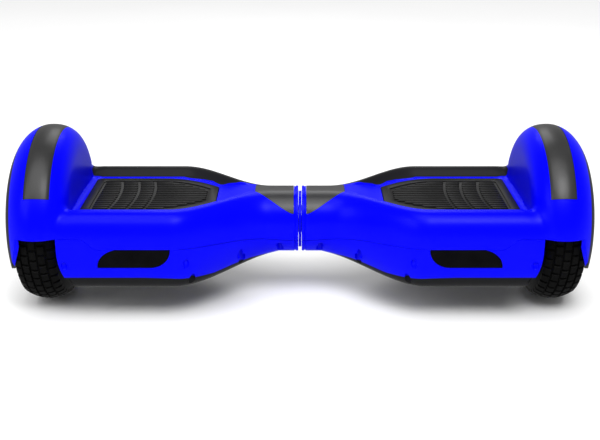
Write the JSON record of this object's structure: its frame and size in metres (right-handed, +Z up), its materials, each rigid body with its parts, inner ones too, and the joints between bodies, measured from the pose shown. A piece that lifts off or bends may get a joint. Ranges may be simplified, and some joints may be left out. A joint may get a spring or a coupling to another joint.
{
  "type": "self balancing board",
  "caption": "Two hinged foot decks on hub-motor wheels, with sprung foot mats, moulded fenders, lamps and a twisting middle joint.",
  "frame": {"origin": "on the floor under the middle of the board, at the centre of its footprint", "axes": "+X along the board to its right end, +Y to the rear, +Z up"},
  "size_m": [0.584, 0.1902, 0.1796],
  "materials": {
    "blue_shell": "gloss two-tone",
    "black_plastic": "satin",
    "mat_rubber": "matt",
    "dark_lens": "gloss",
    "circuit_board": "satin",
    "steel": "satin",
    "cast_aluminium": "cast",
    "cable": "matt",
    "tyre_rubber": "matt",
    "magnet": "plated",
    "copper": "enamelled wire",
    "bronze": "sintered",
    "battery_wrap": "shrink film"
  },
  "bodies": {
    "left_half": {"top_cover_left": "blue_shell", "bottom_cover_left": "blue_shell", "bumper_strip_left": "black_plastic", "headlight_lens_left": "dark_lens", "headlight_board_left": "circuit_board", "indicator_lens_left": "dark_lens", "indicator_board_left": "circuit_board", "cover_screws_left": "steel", "screw_sleeves_left": "black_plastic", "frame_left": "cast_aluminium", "axle_clamp_left": "steel", "clamp_bolts_left": "steel", "sensor_board_left": "circuit_board", "motor_lead_left": "cable", "stator_left": "copper", "axle_left": "steel", "pivot_tube": "steel", "retaining_ring": "steel", "seal_ring": "mat_rubber", "cross_harness": "cable", "battery_pack": "battery_wrap", "battery_strap": "cable", "charge_socket": "steel"},
    "right_half": {"top_cover_right": "blue_shell", "bottom_cover_right": "blue_shell", "bumper_strip_right": "black_plastic", "headlight_lens_right": "dark_lens", "headlight_board_right": "circuit_board", "indicator_lens_right": "dark_lens", "indicator_board_right": "circuit_board", "cover_screws_right": "steel", "screw_sleeves_right": "black_plastic", "frame_right": "cast_aluminium", "axle_clamp_right": "steel", "clamp_bolts_right": "steel", "sensor_board_right": "circuit_board", "motor_lead_right": "cable", "stator_right": "copper", "axle_right": "steel", "pivot_bush": "bronze", "twist_stop": "steel", "main_board": "circuit_board", "heat_sink": "cast_aluminium", "button_housing": "black_plastic"},
    "left_wheel": {"tyre_left": "tyre_rubber", "wheel_rim_left": "cast_aluminium", "hub_cover_left": "cast_aluminium", "magnet_ring_left": "magnet", "bearings_left": "steel"},
    "right_wheel": {"tyre_right": "tyre_rubber", "wheel_rim_right": "cast_aluminium", "hub_cover_right": "cast_aluminium", "magnet_ring_right": "magnet", "bearings_right": "steel"},
    "left_mat": {"foot_mat_left": "mat_rubber"},
    "right_mat": {"foot_mat_right": "mat_rubber"},
    "power_button": {"power_button": "black_plastic"},
    "charge_cap": {"charge_cap": "mat_rubber"}
  },
  "joints": [
    {"name": "board_twist", "type": "hinge", "parent": "left_half", "child": "right_half", "pos_m": [0, 0, 0.0816], "axis": [1, 0, 0], "range_deg": [-12, 12]},
    {"name": "left_wheel_spin", "type": "hinge", "parent": "left_half", "child": "left_wheel", "pos_m": [-0.258, 0, 0.084], "axis": [1, 0, 0], "continuous": true},
    {"name": "right_wheel_spin", "type": "hinge", "parent": "right_half", "child": "right_wheel", "pos_m": [0.258, 0, 0.084], "axis": [1, 0, 0], "continuous": true},
    {"name": "left_mat_press", "type": "slide", "parent": "left_half", "child": "left_mat", "axis": [0, 0, -1], "range_m": [0, 0.0015], "stiffness_N_per_m": 20000},
    {"name": "right_mat_press", "type": "slide", "parent": "right_half", "child": "right_mat", "axis": [0, 0, -1], "range_m": [0, 0.0015], "stiffness_N_per_m": 20000},
    {"name": "button_press", "type": "slide", "parent": "right_half", "child": "power_button", "axis": [0, -1, 0], "range_m": [0, 0.0014], "stiffness_N_per_m": 1500},
    {"name": "cap_flap", "type": "hinge", "parent": "left_half", "child": "charge_cap", "pos_m": [-0.154, 0.0923, 0.0812], "axis": [1, 0, 0], "range_deg": [0, 110], "stiffness_Nm_per_rad": 0.002}
  ]
}
